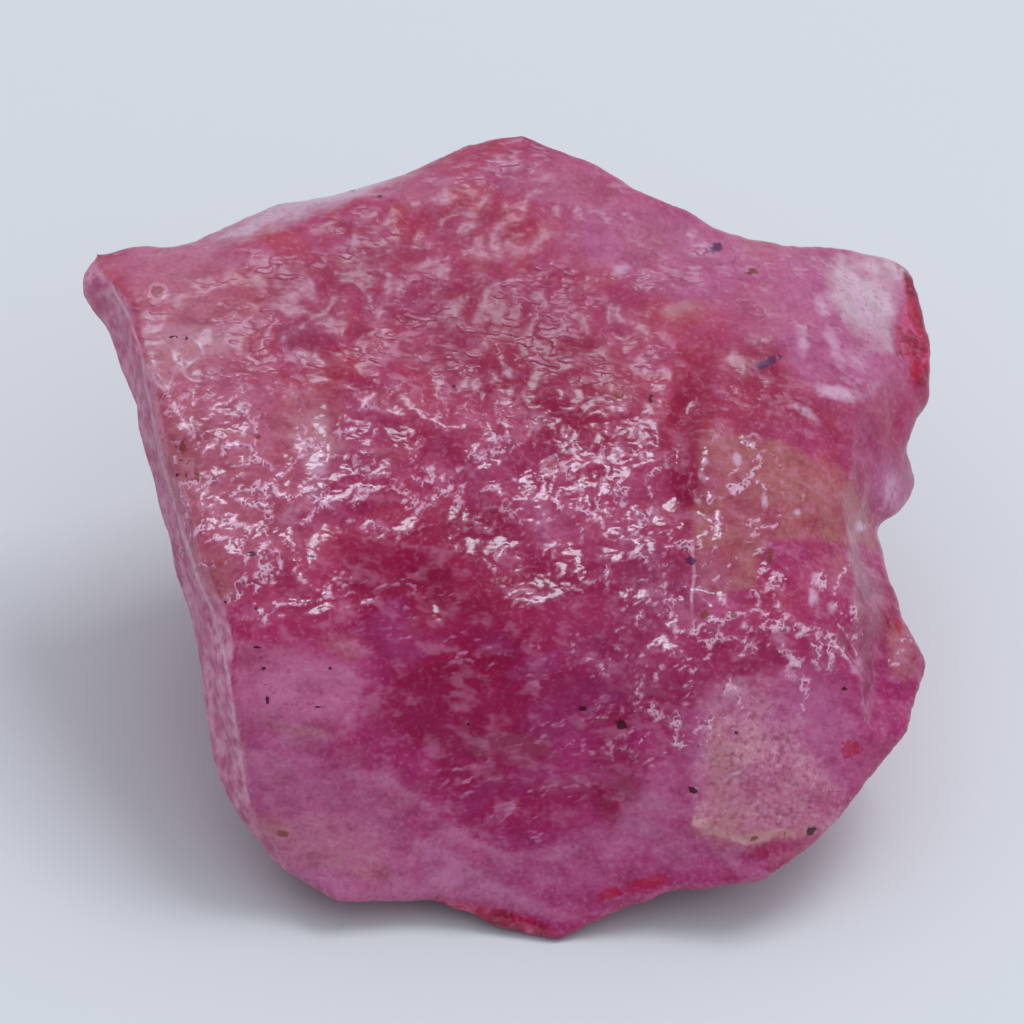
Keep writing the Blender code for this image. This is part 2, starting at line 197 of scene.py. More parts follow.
        (-0.5, 18.4, 0.7, 0.4, 0, 0.5), (5.6, 18.5, 1.2, 0.4, -20, 0.5), (6.8, 15.1, 0.9, 0.5, 20, 0.6),
        (8.6, 15.4, 0.6, 0.4, 0, 0.5), (-6.2, 14.6, 1.3, 0.4, 12, 0.4), (-11.2, 12.6, 1.4, 0.4, -14, 0.4),
        (-3.0, 12.2, 0.9, 0.4, 0, 0.4), (3.0, 12.8, 0.7, 0.5, 0, 0.4), (14.0, 3.3, 0.32, 0.6, 8, 1.0),
        (15.7, 0.8, 0.26, 0.9, 6, 0.9), (17.7, -0.1, 0.3, 0.4, 0, 0.9), (18.1, 0.9, 0.26, 0.4, 0, 0.8),
        (21.7, -0.9, 0.34, 0.5, 10, 1.0), (18.9, -4.2, 0.4, 0.6, 20, 0.9), (18.7, -5.3, 0.4, 0.6, 0, 0.9),
        (19.9, -5.9, 0.4, 0.5, 0, 0.9), (18.1, -7.3, 0.4, 0.4, 0, 0.8), (12.0, 3.1, 0.3, 0.3, 0, 0.9),
        (11.8, 2.1, 0.34, 0.6, 10, 0.9), (11.5, 0.8, 0.3, 0.6, 10, 0.8), (-13.0, 9.6, 1.9, 0.9, -8, 0.5),
        (-12.0, 8.0, 1.6, 0.8, 20, 0.4), (-12.2, 2.4, 1.4, 1.8, 0, 0.6), (-19.6, 2.0, 0.9, 2.6, 15, 0.5),
        (-22.3, 9.0, 1.2, 4.4, 12, 0.55), (-8.2, 9.2, 1.5, 0.5, 18, 0.4), (-3.0, 2.8, 1.4, 1.0, -30, 0.5),
        (-1.4, 0.2, 0.8, 1.4, 20, 0.5), (1.6, 5.7, 1.4, 1.2, 0, 0.55), (1.6, -1.2, 1.4, 1.2, 0, 0.5),
    ),
}

ETCHED_SKYWARD = 0.45  # how much glitter lies on all that faces up

# Outlined patches: closed outlines of (across, up) corners, in millimetres.
OUTLINES = {
    # tan slab that overlaps the table face on the right
    "tan_slab": (
        ((11.3, 4.9), (12.2, 5.3), (14.1, 4.8), (16.0, 4.7), (18.4, 3.7), (20.5, 2.6), (21.9, 0.7),
         (22.6, -2.2), (21.0, -2.0), (18.5, -1.7), (16.0, -2.0), (15.2, -3.0), (14.8, -4.7), (12.7, -5.5),
         (11.4, -4.8), (11.2, -2.0), (11.5, 1.4)),
    ),
    # thin chipped slab at the lower right
    "chip_slab": (
        ((12.4, -11.6), (11.9, -14.2), (11.6, -16.7), (11.2, -17.9), (11.1, -18.8), (11.3, -19.4),
         (12.4, -19.9), (14.4, -20.6), (15.9, -20.3), (16.4, -19.9), (17.7, -20.1), (19.4, -20.4),
         (20.8, -18.6), (18.9, -15.8), (17.6, -13.0), (15.4, -10.8)),
    ),
    # its thick cream lower edge
    "cream_edge": (
        ((11.1, -18.4), (11.2, -19.4), (12.4, -20.0), (14.4, -20.7), (15.9, -20.4), (16.5, -20.0),
         (17.8, -20.2), (17.6, -19.9), (16.3, -19.6), (15.5, -19.9), (14.1, -20.1), (12.7, -19.5),
         (11.6, -18.9)),
    ),
    # the lobe's pale beige-grey cap, with a painted reflection of the light on its smooth skin
    "lobe_cap_reflection": (
        ((20.0, 15.9), (22.8, 16.1), (24.5, 15.0), (24.0, 13.3), (23.3, 10.1), (21.9, 9.8), (21.1, 11.6),
         (19.8, 12.9), (19.6, 15.0)),
    ),
    # the shallow flute down the right side
    "flute": (
        ((20.9, -2.0), (21.5, -3.6), (23.2, -5.0), (22.9, -6.1), (22.5, -8.0), (22.4, -11.1), (21.7, -11.1),
         (21.6, -8.0), (21.4, -5.5), (21.1, -3.9)),
    ),
    # the pale lip above the toe
    "lip": (
        ((-5.8, -20.5), (-3.9, -20.9), (-0.7, -22.9), (2.0, -24.4), (1.3, -25.0), (-2.0, -24.1),
         (-5.1, -22.9)),
    ),
    # the pale bevel behind the far left edge
    "back_bevel": (
        ((-18.9, 16.9), (-17.6, 17.4), (-16.0, 18.6), (-13.4, 19.4), (-10.6, 20.2), (-8.6, 21.2),
         (-6.0, 22.4), (-3.4, 23.4), (-3.2, 22.6), (-6.2, 21.4), (-7.6, 20.4), (-9.4, 19.6),
         (-12.4, 18.6), (-15.0, 17.6), (-16.8, 17.0)),
    ),
    # clear crimson places: the lobe's broken edge and the undercut above the toe
    "clear_red": (
        ((24.4, 14.8), (25.4, 13.6), (26.4, 10.6), (26.6, 8.4), (25.6, 7.8), (24.6, 8.2), (24.9, 9.2),
         (24.0, 9.8), (23.9, 11.6), (24.3, 13.2)),
        ((-4.6, -24.0), (-2.0, -24.4), (1.1, -25.2), (3.0, -26.3), (1.1, -26.5), (-2.0, -25.7),
         (-4.5, -24.6)),
    ),
    # smooth lavender facet at the front left
    "lavender_facet": (
        ((-17.1, -8.0), (-13.2, -8.6), (-9.9, -9.7), (-9.3, -11.7), (-9.9, -13.4), (-13.2, -13.0),
         (-17.2, -12.7)),
    ),
    # lilac band under the light arc along the bottom
    "lilac_band": (
        ((-16.6, -17.3), (-13.2, -17.0), (-10.6, -16.0), (-7.8, -16.3), (-5.3, -18.1), (-2.8, -20.1),
         (-0.1, -21.2), (5.5, -20.3), (11.1, -19.0), (11.7, -20.1), (15.4, -21.0), (17.9, -20.7),
         (15.4, -22.1), (8.0, -22.9), (3.0, -25.3), (-5.1, -24.4), (-11.3, -22.9), (-15.0, -20.4)),
    ),
    # the deep red hollow in the middle of the front
    "red_hollow": (
        ((-10.8, -2.3), (-8.2, -1.7), (-5.1, -3.0), (-2.6, -5.5), (3.0, -8.0), (5.5, -10.4), (8.0, -12.9),
         (8.0, -17.3), (5.5, -19.8), (1.7, -21.0), (-2.0, -19.8), (-4.5, -17.9), (-5.1, -14.8),
         (-7.0, -14.2), (-9.3, -12.6), (-8.9, -11.4), (-7.5, -10.6), (-8.5, -8.9), (-9.6, -7.0),
         (-10.3, -4.8)),
    ),
}
FARTHEST = 4.0  # distances to an outline are kept up to this, in millimetres

# Edges that catch the light, as open lines of (across, up) places, in millimetres.
BRIGHT_EDGES = (
    # top of the cleaved left wall
    ((-25.1, 14.5), (-24.0, 12.5), (-23.1, 10.1), (-22.5, 7.0), (-21.7, 3.2), (-20.7, -0.5), (-19.7, -3.6),
     (-18.6, -6.1), (-17.8, -9.2), (-17.3, -12.3), (-16.9, -15.4), (-16.4, -17.9), (-16.1, -18.9)),
    # left edge of the tan slab
    ((11.3, -1.6), (11.2, -2.6), (11.35, -3.8), (11.15, -5.2), (11.2, -6.9)),
    # curled ridges on the beige crust at the upper left
    ((-22.6, 10.3), (-21.8, 10.7), (-21.1, 10.1), (-20.75, 9.2), (-21.1, 8.3), (-21.4, 7.4), (-22.0, 7.9),
     (-22.4, 8.9)),
    ((-20.2, 11.1), (-19.4, 10.6), (-19.1, 9.9), (-19.8, 9.4), (-20.6, 8.7)),
    # a crack in the chipped slab
    ((13.0, -16.9), (13.6, -16.3), (14.1, -16.2), (14.9, -15.4)),
)

# Milky veils: lines of (across, up) places, with the distance over which each fades on its right
# side, in millimetres.
VEILS = (
    (1.2, ((-11.4, -16.5), (-10.6, -16.0), (-7.8, -16.2), (-5.3, -18.1), (-2.8, -20.1), (-0.1, -21.2),
           (5.5, -20.3))),
    (0.8, ((11.9, -20.1), (13.5, -21.5), (16.0, -22.4), (17.9, -21.9))),
    (0.5, ((24.0, 10.9), (24.6, 10.4), (25.6, 9.7))),
    (0.8, ((-23.4, 11.9), (-21.6, 11.6), (-19.4, 11.3), (-17.2, 11.8), (-15.0, 12.5))),
)

# Specks, spots and craters: (across, up, half length, half width, turn in degrees), in millimetres.
DARK_SPECKS = (
    (4.4, -12.2, 0.22, 0.18, 0), (6.8, -13.2, 0.42, 0.30, -20), (11.2, -17.3, 0.34, 0.26, 0),
    (18.6, -19.8, 0.38, 0.24, 30), (8.6, 7.0, 0.12, 0.34, 0), (20.7, -11.0, 0.18, 0.14, 0),
    (13.9, -13.7, 0.12, 0.10, 0), (-21.1, 10.9, 0.22, 0.06, 15), (-20.2, 10.8, 0.10, 0.12, 0),
    (-16.2, -2.6, 0.30, 0.20, 0), (-12.4, -2.8, 0.28, 0.16, 30), (-15.4, -9.7, 0.12, 0.10, 0),
    (-15.8, -8.4, 0.26, 0.08, 0), (-15.2, -11.7, 0.14, 0.26, 0), (-11.3, -9.7, 0.12, 0.10, 0),
    (-17.8, -5.6, 0.12, 0.10, 0), (-15.9, -6.0, 0.11, 0.10, 0), (-9.9, 20.0, 0.22, 0.20, 0),
    (-8.2, 19.6, 0.14, 0.10, 0), (-2.7, -13.2, 0.12, 0.12, 0), (3.3, 3.9, 0.14, 0.12, 0),
    (-12.0, -12.1, 0.22, 0.08, 0), (-20.8, 2.3, 0.10, 0.10, 0), (-3.6, 7.8, 0.12, 0.10, 0),
)
BLUE_SPECKS = ((12.7, 16.4, 0.48, 0.32, 35), (15.9, 9.3, 0.95, 0.26, 26), (11.1, -3.0, 0.36, 0.26, 0))
OLIVE_SPECKS = (
    (-20.45, 4.0, 0.44, 0.24, 112), (-19.6, 2.2, 0.40, 0.20, 105), (6.6, 7.2, 0.34, 0.20, 0),
    (16.0, -2.8, 0.50, 0.22, 80), (15.6, 17.0, 0.34, 0.22, 0), (-14.2, -20.0, 0.40, 0.22, 0),
    (12.0, -6.4, 0.34, 0.26, 30), (13.8, -6.4, 0.30, 0.22, 0),
    (-15.8, 4.7, 0.24, 0.20, 0), (15.0, -20.3, 0.26, 0.14, 30),
)
CRATERS = ((-22.0, 13.66, 0.36, 0.34, 0), (2.5, 2.9, 0.44, 0.34, 0))
RED_SPOTS = (
    (21.0, -14.7, 0.70, 0.62, 0), (8.6, -23.0, 1.30, 0.42, 15), (6.1, -23.7, 0.80, 0.42, 20),
    (24.9, 12.4, 0.50, 0.75, 20), (25.2, 8.9, 0.60, 0.62, 0), (24.0, -7.0, 0.30, 0.60, 0),
)
# Each kind's colour, its strength and that of a painted highlight on a rim around it.
SPECKS = (
    ((150, 52, 56), 0.7, 0.4, CRATERS),
    ((178, 4, 44), 0.6, 0.0, RED_SPOTS),
    ((124, 52, 30), 0.8, 0.0, OLIVE_SPECKS),
    ((84, 30, 80), 0.85, 0.0, BLUE_SPECKS),
    ((56, 12, 24), 0.9, 0.0, DARK_SPECKS),
)

# How deep a speck is, and how it and the rim where a highlight is painted fade, in its own half lengths
# from its middle.
SPECK_DEPTH = 0.8 * MM
SPECK_UNEVENNESS = 1.4
SPECK_FADE = (1.15, 0.7)
RIM_FADES = ((0.9, 1.4), (2.0, 1.5))

# Directions along which marks run.
LEVEL_WAY = (1.0, -0.15, 0.0)
RISING_WAY = (1.0, 0.25, 0.25)
ZONE_WAY = (1.0, 0.3, 0.3)
WALL_WAY = (0.25, 1.0, -1.0)

# How far back on the stone the skin starts to calm down, and where it is calm.
FAR_FADE = (-3 * MM, 8 * MM)

NOISE_MIDDLE = 0.5

# The etched relief's sizes and its fixed seed, as the inputs of its tree.
ETCHING = {
    "Swell Size": 4.6 * MM,
    "Swell Height": 1.0 * MM,
    "Hillock Size": 2.1 * MM,
    "Hillock Height": 1.0 * MM,
    "Grain Size": 1.0 * MM,
    "Grain Height": 0.2 * MM,
    "Plain Share": 0.36,
    "Lace Size": 3.0 * MM,
    "Lace Width": 0.06,
    "Lace Height": 0.1 * MM,
    "Far Lace Share": 0.1,
    "Seed": 3.0,
}
ETCHING_NOISE = (1.0, 0.55, 0.2)  # detail, roughness and distortion
LACE_NOISE = (3.0, 0.55, 0.9)
THINNEST_LACE = 0.004
LACE_FADE = (0.1, 0.35)  # how much glitter there is where the lace starts and where it is full
LACE_TOP = 0.3  # the share of a band's width that is level

# Patterns: a noise (scale, detail, roughness, distortion), the squeeze along which its marks run,
# and the values between which it goes from none to full. The first are kept on the stone's points.
BROAD_PATTERNS = {
    "rows": ((430, 3.0, 0.6, 0.2), (0.4, RISING_WAY), (0.46, 0.62)),
    "tufts": ((330, 2.0, 0.55, 0.2), (0.5, LEVEL_WAY), (0.44, 0.6)),
    "uneven": ((380, 3.0, 0.55), (), (0.3, 0.62, 0.35, 1.0)),
    "zones": ((210, 4.0, 0.6, 0.4), (0.5, ZONE_WAY), ()),
    "wall_streaks": ((1300, 2.0, 0.65), (0.16, WALL_WAY), (0.35, 0.65)),
    "coarse": ((310, 3.0, 0.62), (), ()),
    "patchy": ((480, 3.0, 0.62), (), (0.46, 0.72)),
    "streaky": ((470, 3.0, 0.65), (0.4, LEVEL_WAY), (0.44, 0.66)),
    "blotches": ((170, 2.0, 0.5), (), (0.4, 0.7)),
}
FINE_PATTERNS = {
    "crisp": ((640, 2.0, 0.65), (), ()),
    "mottle": ((900, 2.0, 0.6), (0.7, LEVEL_WAY), ()),
    "tiny": ((3000, 1.0, 0.65), (), ()),
    "lumps": ((2100, 1.0, 0.65), (), ()),
    "curls": ((1500, 2.0, 0.6), (), ()),
    # marks for the painted glints in the red hollow
    "streaks": ((2700, 1.0, 0.65), (0.4, RISING_WAY), (0.56, 0.72)),
    "glint_blobs": ((1700, 1.0, 0.6), (0.5, LEVEL_WAY), (0.5, 0.68)),
}

# Edges of the soft patches: the pattern that makes them ragged, how ragged they are, and the
# values between which a patch goes from none to full.
PATCH_EDGES = {
    "glitter": ("coarse", 1.0, 0.25, 0.85),
    "haze_and_painted_light": ("coarse", 0.5, 0.05, 0.95),
    "blush": ("coarse", 0.7, 0.1, 1.0),
    "beige": ("crisp", 1.0, 0.3, 0.8),
    "depth": ("coarse", 0.6, 0.1, 0.8),
    "plum": ("crisp", 0.9, 0.15, 0.9),
    "stain": ("crisp", 0.8, 0.2, 0.85),
    "highlights": ("mottle", 1.0, 0.3, 0.9),
}
# The same for the outlined ones, whose values are distances: the pattern, raggedness and softness.
OUTLINE_EDGES = {
    "red_hollow": ("coarse", 3.2, 0.9),
    "lavender_facet": ("crisp", 0.6, 0.3),
    "lilac_band": ("coarse", 3.2, 1.2),
    "back_bevel": ("crisp", 1.2, 0.5),
    "tan_slab": ("coarse", 1.6, 0.3),
    "chip_slab": ("crisp", 3.0, 0.9),
    "cream_edge": ("mottle", 1.0, 0.12),
    "lip": ("crisp", 1.0, 0.5),
    "flute": ("crisp", 1.2, 0.5),
    "lobe_cap_reflection": ("crisp", 1.8, 0.6),
    "clear_red": ("crisp", 0.8, 0.25),
}

# The cloudy body: its colours, the heights between which they change, and the cleaved wall's.
LOWER_TONE = (166, 40, 98)
UPPER_TONE = (172, 34, 64)
UPPER_RISE = (14 * MM, 23 * MM)
# the wall's pale tones are partly painted light, lighter for the light thrown on it from its left
WALL_TONES = ((200, 102, 144), (234, 170, 196))
WALL_SHARE = 0.85

# Colours laid over the body: each one's tone, its share and, where it shows a pattern, the values
# between which that goes from none to full.
LAYERS = {
    # of the whole body
    "magenta blotches": ((152, 26, 90), 0.7),
    "pink grains": ((176, 60, 116), 0.35, 0.5, 0.58),
    "rose patches": ((186, 74, 120), 0.5),
    "warm streaks": ((188, 80, 96), 0.5),
    # milky lavender, partly painted fill light and sheen
    "haze_and_painted_light": ((194, 108, 152), 0.8),
    # of the etched fields and the clear red places
    # painted sheen: a lavender reflection laid over the etched fields
    "etched field sheen": ((180, 80, 122), 0.35),
    # painted shade: darker deep red where the etched relief is low
    "etched pit shade": ((146, 8, 64), 0.6, 0.05, -0.16),
    "blush": ((190, 112, 126), 0.68),
    "beige": ((208, 160, 166), 0.6),
    "depth": ((150, 4, 56), 0.9),
    "red_hollow": ((146, 8, 62), 0.7),
    "cloudy zones": ((156, 48, 108), 0.6, 0.5, 0.6),
    # purple, partly painted fill light on the hollow's down-facing part
    "plum": ((182, 56, 124), 0.6),
    "dull_purple": ((112, 54, 96), 0.45),
    "clear zones": ((128, 6, 48), 0.4, 0.46, 0.4),
    # of the facets, veils and slabs
    "lavender_facet": ((190, 102, 140), 0.6),
    "lilac_band": ((184, 92, 142), 0.3),
    "veil": ((208, 138, 172), 0.45, 0.0, 1.0),
    "back_bevel": ((208, 174, 190), 0.9),
    "tan_slab": ((172, 102, 98), 0.85),
    "chip_slab": ((212, 138, 164), 0.75),
    "chip beige": ((204, 142, 144), 0.5, 0.46, 0.58),
    "chip dark grains": ((160, 62, 104), 0.4, 0.5, 0.3),
    "chip light grains": ((236, 184, 196), 0.4, 0.54, 0.72),
    "cream_edge": ((228, 186, 176), 0.7),
    "stain": ((182, 112, 114), 0.6),
    "lip": ((196, 122, 160), 0.6),
    "flute": ((150, 76, 98), 0.7),
    # the lobe's pale cap with a painted reflection of the light
    "lobe_cap_reflection": ((224, 198, 206), 0.9),
    "clear_red": ((176, 8, 60), 0.85),
    # painted broken glints in the clear red
    "clear red glints": ((222, 110, 156), 0.5, 0.5, 0.6),
    "clear dark places": ((116, 0, 40), 0.6, 0.48, 0.38),
    # painted highlights: glints and whitish reflections of the light
    "highlights": ((226, 186, 208), 0.75),
    "light mottle": ((204, 128, 160), 0.34, 0.5, 0.7),
    "dark mottle": ((138, 16, 66), 0.34, 0.5, 0.32),
    # of the lace: its lighter tint is painted sheen, its crests carry painted glints and its gaps painted
    # shade
    "between lace": ((150, 20, 72), 0.2),
    "lace": ((198, 114, 150), 0.4),
    "lace gap shade": ((130, 28, 72), 0.55, 0.4, 0.0),
    "lace glints": ((238, 196, 214), 0.74),
    "hollow glint rows": ((204, 128, 168), 0.7),
    # painted soft glints far back on the stone
    "glint_blobs": ((230, 170, 190), 0.36),
    # of the smallest marks
    "bright edges": ((226, 190, 206), 0.6),
    # pale fine grain painted as tiny highlights
    "fine highlights": ((206, 140, 172), 0.24, 0.5, 0.8),
    "dark grain": ((120, 8, 50), 0.3, 0.5, 0.2),
    # painted highlight on a crater's rim
    "crater rim highlights": ((224, 170, 184), 1.0),
}

# The lace in the etched fields, and its share in the deep red and in the red hollow.
LACE_RAGGEDNESS = 1.4
LACE_EDGE_FADE = (0.15, 0.9)
DEEP_LACE = 0.25
HOLLOW_LACE = 0.55
CURL_FADE = (0.07, 0.01)
LUMP_FADE = (0.48, 0.74)

# Other marks: what the painted far glints, the bright edges and the stains fade between, how an edge is
# broken up, and the shares left of the mottle far back and of the painted fine highlights in the red
# hollow.
BLOB_FADE = (0.1, 0.6)
BRIGHT_EDGE_FADE = (0.16, 0.02)
BRIGHT_EDGE_BREAKS = (0.35, 0.6, 0.25, 1.0)
STAIN_FADE = (0.05, 0.2)
FAR_MOTTLE = 0.65
HOLLOW_FINE_HIGHLIGHTS = 0.4

# The stone's gloss, the relief too small for its mesh, and its glow from inside.
NEAR_ROUGHNESS = 0.16
FAR_ROUGHNESS = 0.3
LACE_ROUGHNESS = 0.26
WALL_ROUGHNESS = 0.75
REFRACTION = 1.47
BUMP_DEPTH = 0.25 * MM
PLAIN_BUMP = 0.28
ETCHED_BUMP = 0.62
BLOB_BUMP = 0.6
FAR_BUMP = 0.6
GLOW_SHARE = 0.4
GLOW_RADIUS = (1.0, 0.28, 0.45)
GLOW_SCALE = 1.5 * MM


def tone(red, green, blue):
    """A colour given as a screen shows it, from 0 to 255, as the renderer's linear one."""
    shares = [level / 255 for level in (red, green, blue)]
    linear = [s / 12.92 if s <= 0.04045 else ((s + 0.055) / 1.055) ** 2.4 for s in shares]
    return (*linear, 1.0)


# ---------------------------------------------------------------- camera, light and table


def make_camera():
    data = bpy.data.cameras.new("view")
    data.lens = VIEW_LENS
    data.sensor_width = SENSOR
    data.clip_start = NEAREST_SEEN
    data.clip_end = FARTHEST_SEEN
    camera = bpy.data.objects.new("view", data)
    bpy.context.scene.collection.objects.link(camera)
    turn = Matrix((VIEW_RIGHT, VIEW_UP, VIEW_BACK)).transposed()
    camera.matrix_world = Matrix.Translation(EYE) @ turn.to_4x4()
    bpy.context.scene.camera = camera


def make_softbox(name, softbox, lit):
    """A square softbox that looks at the stone and lights only one object."""
    place, size, power, colour, shadow = softbox
    data = bpy.data.lights.new(name, "AREA")
    data.use_shadow = shadow
    data.size = size
    data.energy = power
    data.color = colour
    light = bpy.data.objects.new(name, data)
    bpy.context.scene.collection.objects.link(light)
    light.location = place
    light.rotation_euler = (place - VIEW_TARGET).to_track_quat("Z", "Y").to_euler()
    reached = bpy.data.collections.new(f"{name} reach")
    reached.objects.link(lit)
    light.light_linking.receiver_collection = reached


def make_world():
    """A pale light tent, dimmer on the camera's side and, in reflections, dark there."""
    world = bpy.data.worlds.new("light tent")
    world.use_nodes = True
    tree = world.node_tree
    background = tree.nodes["Background"]
    way = tree.nodes.new("ShaderNodeTexCoord").outputs["Generated"]
    rays = tree.nodes.new("ShaderNodeLightPath").outputs

    def glow(bright_way, *rise):
        along = vector_node(tree, "DOT_PRODUCT", {0: way, 1: bright_way}).outputs["Value"]
        return smooth_range(tree, along, *rise)

    strength = blend(tree, rays["Is Glossy Ray"], glow(*TENT_GLOW), glow(*SHEEN_GLOW))
    strength = blend(tree, rays["Is Camera Ray"], strength, 1.0)
    colour = mix_colour(tree, rays["Is Camera Ray"], tone(*TENT_TONE), tone(*BACKDROP_TONE))
    tree.links.new(colour, background.inputs["Color"])
    tree.links.new(strength, background.inputs["Strength"])
    bpy.context.scene.world = world


def make_studio(stone, top):
    """The light tent, a small softbox for the stone's glints and a large one for the table."""
    make_world()
    bpy.context.scene.view_settings.view_transform = "Standard"
    make_softbox("glint softbox", GLINT_SOFTBOX, stone)
    make_softbox("table softbox", TABLE_SOFTBOX, top)


def make_table():
    """The pale table top."""
    table = bmesh.new()
    bmesh.ops.create_grid(table, x_segments=1, y_segments=1, size=TABLE_HALF_WIDTH)
    mesh = bpy.data.meshes.new("table_top")
    table.to_mesh(mesh)
    table.free()
    material = bpy.data.materials.new("table")
    material.use_nodes = True
    shader = material.node_tree.nodes["Principled BSDF"]
    shader.inputs["Base Color"].default_value = tone(*TABLE_TONE)
    shader.inputs["Roughness"].default_value = TABLE_ROUGHNESS
    mesh.materials.append(material)
    top = bpy.data.objects.new("table_top", mesh)
    bpy.context.scene.collection.objects.link(top)
    return top


# ---------------------------------------------------------------- the stone's skin


def bake_modifiers(obj):
    """Makes the object's modifiers part of its mesh."""
    before = obj.data
    graph = bpy.context.evaluated_depsgraph_get()
    obj.data = bpy.data.meshes.new_from_object(obj.evaluated_get(graph), depsgraph=graph)
    obj.modifiers.clear()
    bpy.data.meshes.remove(before)


def smoothing(obj, name, rounds, group=""):
    wear = obj.modifiers.new(name, "SMOOTH")
    wear.factor = WEAR_FACTOR
    wear.iterations = rounds
    wear.vertex_group = group


def refined_copy(node):
    """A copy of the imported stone, welded and rounded, with small even faces."""
    body = bmesh.new()
    body.from_mesh(node.data)
    bmesh.ops.remove_doubles(body, verts=body.verts, dist=WELD)
    mesh = bpy.data.meshes.new("sapphire_crystal")
    body.to_mesh(mesh)
    body.free()
    stone = bpy.data.objects.new("sapphire_crystal", mesh)
    bpy.context.scene.collection.objects.link(stone)
    rounding = stone.modifiers.new("rounding", "SUBSURF")
    rounding.levels = ROUNDING_LEVELS
    rounding.render_levels = ROUNDING_LEVELS
    even = stone.modifiers.new("even faces", "REMESH")
    even.mode = "VOXEL"
    even.voxel_size = VOXEL
    even.use_smooth_shade = True
    bake_modifiers(stone)
    wear_corners(stone)
    return stone


def wear_corners(stone):
    """Rounds the whole skin a little and the sharpest corners more."""
    sight = Sight(stone)
    corners = stone.vertex_groups.new(name="corners")
    for place in (sight.place(*spot) for spot in WORN_CORNERS):
        for vert in stone.data.vertices:
            near = 1 - (vert.co - place).length / CORNER_REACH
            if near > 0:
                corners.add([vert.index], near, "REPLACE")
    smoothing(stone, "worn skin", SKIN_WEAR)
    smoothing(stone, "worn corners", CORNER_WEAR, "corners")
    bake_modifiers(stone)


class Sight:
    """Finds the places that the lines of sight reach on the stone."""

    def __init__(self, stone):
        vertices = [vert.co for vert in stone.data.vertices]
        faces = [tuple(face.vertices) for face in stone.data.polygons]
        self.tree = BVHTree.FromPolygons(vertices, faces)

    def place(self, across, up):
        aim = VIEW_TARGET + (VIEW_RIGHT * across + VIEW_UP * up) * MM
        ray = (aim - EYE).normalized()
        hit, _, _, _ = self.tree.ray_cast(EYE, ray)
        if hit is None:
            hit, _, _, _ = self.tree.find_nearest(aim)
        return hit


def turned_axes(turn):
    """The view's right and up directions, turned anticlockwise by that many degrees."""
    angle = math.radians(turn)
    right = VIEW_RIGHT * math.cos(angle) + VIEW_UP * math.sin(angle)
    up = VIEW_UP * math.cos(angle) - VIEW_RIGHT * math.sin(angle)
    return right, up


def smooth_step(values, low, high):
    share = np.clip((values - low) / (high - low), 0, 1)
    return share * share * (3 - 2 * share)


